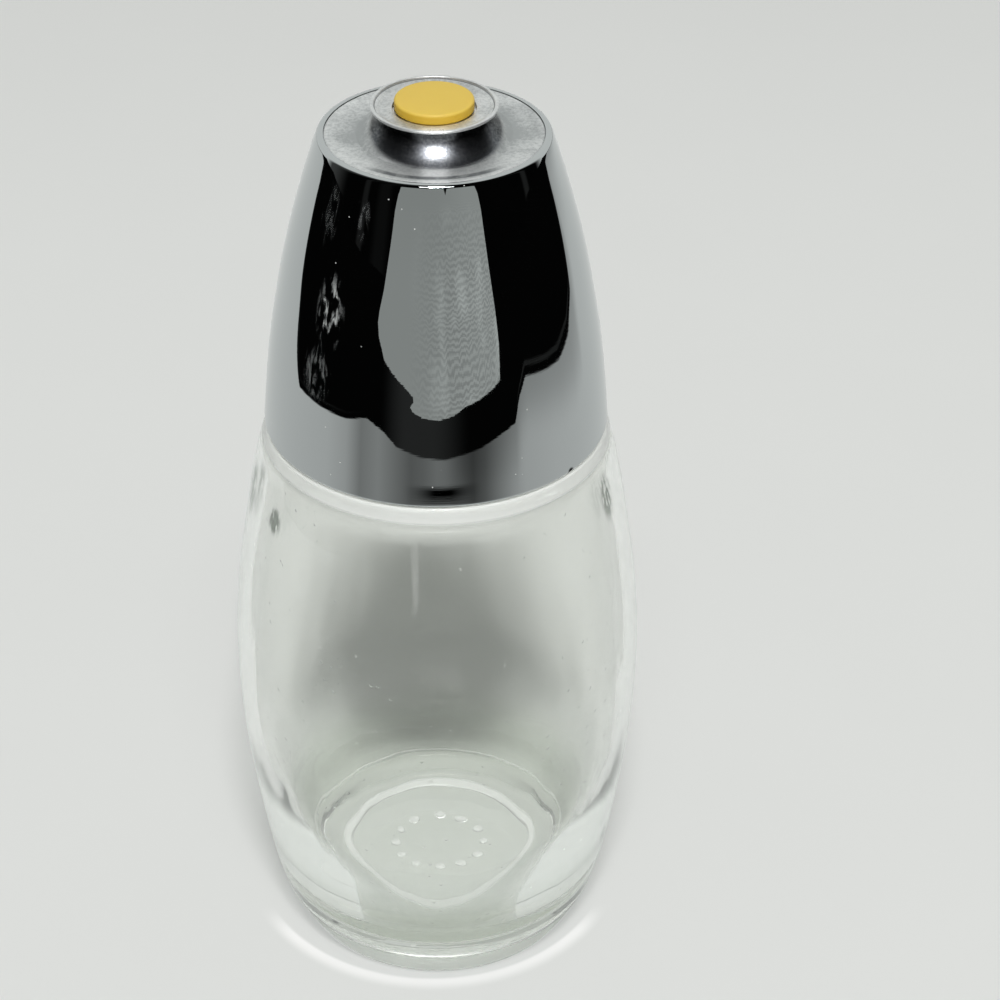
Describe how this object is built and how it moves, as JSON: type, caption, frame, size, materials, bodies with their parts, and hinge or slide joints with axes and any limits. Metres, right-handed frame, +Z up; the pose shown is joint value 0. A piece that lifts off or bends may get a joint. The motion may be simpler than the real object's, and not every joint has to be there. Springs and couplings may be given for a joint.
{
  "type": "sugar dispenser",
  "caption": "Round glass sugar dispenser with a screw-on plated cap, short trumpet spout and a small hinged pouring flap.",
  "frame": {"origin": "centre of the jar's foot, on the surface that it stands on", "axes": "+Z up along the jar's axis, -Y towards the front, the flap's hinge at +Y and along X"},
  "size_m": [0.0766, 0.0766, 0.1763],
  "materials": {
    "clear_glass": "clear, fire polished, faint green in the thick foot",
    "plated_chrome": "bright plating, worn satin on the flat top faces",
    "yellow_plastic": "moulded, semi-gloss",
    "white_plastic": "moulded, satin",
    "soft_seal": "matt",
    "pin_steel": "drawn wire"
  },
  "bodies": {
    "jar": {"glass_jar": "clear_glass"},
    "seal": {"sealing_ring": "soft_seal"},
    "cap": {"threaded_collar": "white_plastic", "cap_shell": "plated_chrome", "inner_funnel": "white_plastic", "spout_plate": "plated_chrome", "flap_seat": "white_plastic", "hinge_pin": "pin_steel"},
    "flap": {"pour_flap": "yellow_plastic"}
  },
  "joints": [
    {"name": "cap_rise", "type": "slide", "parent": "jar", "child": "seal", "axis": [0, 0, 1], "range_m": [0, 0.0151]},
    {"name": "cap_turn", "type": "hinge", "parent": "seal", "child": "cap", "pos_m": [0, 0, 0.1142], "axis": [0, 0, 1], "range_deg": [0, 1080]},
    {"name": "flap_hinge", "type": "hinge", "parent": "cap", "child": "flap", "pos_m": [0, 0.0063, 0.17255], "axis": [-1, 0, 0], "range_deg": [0, 45]}
  ],
  "couplings": [
    {"joint": "cap_rise", "follows": "cap_turn", "m_per_rad": 0.00079577}
  ]
}
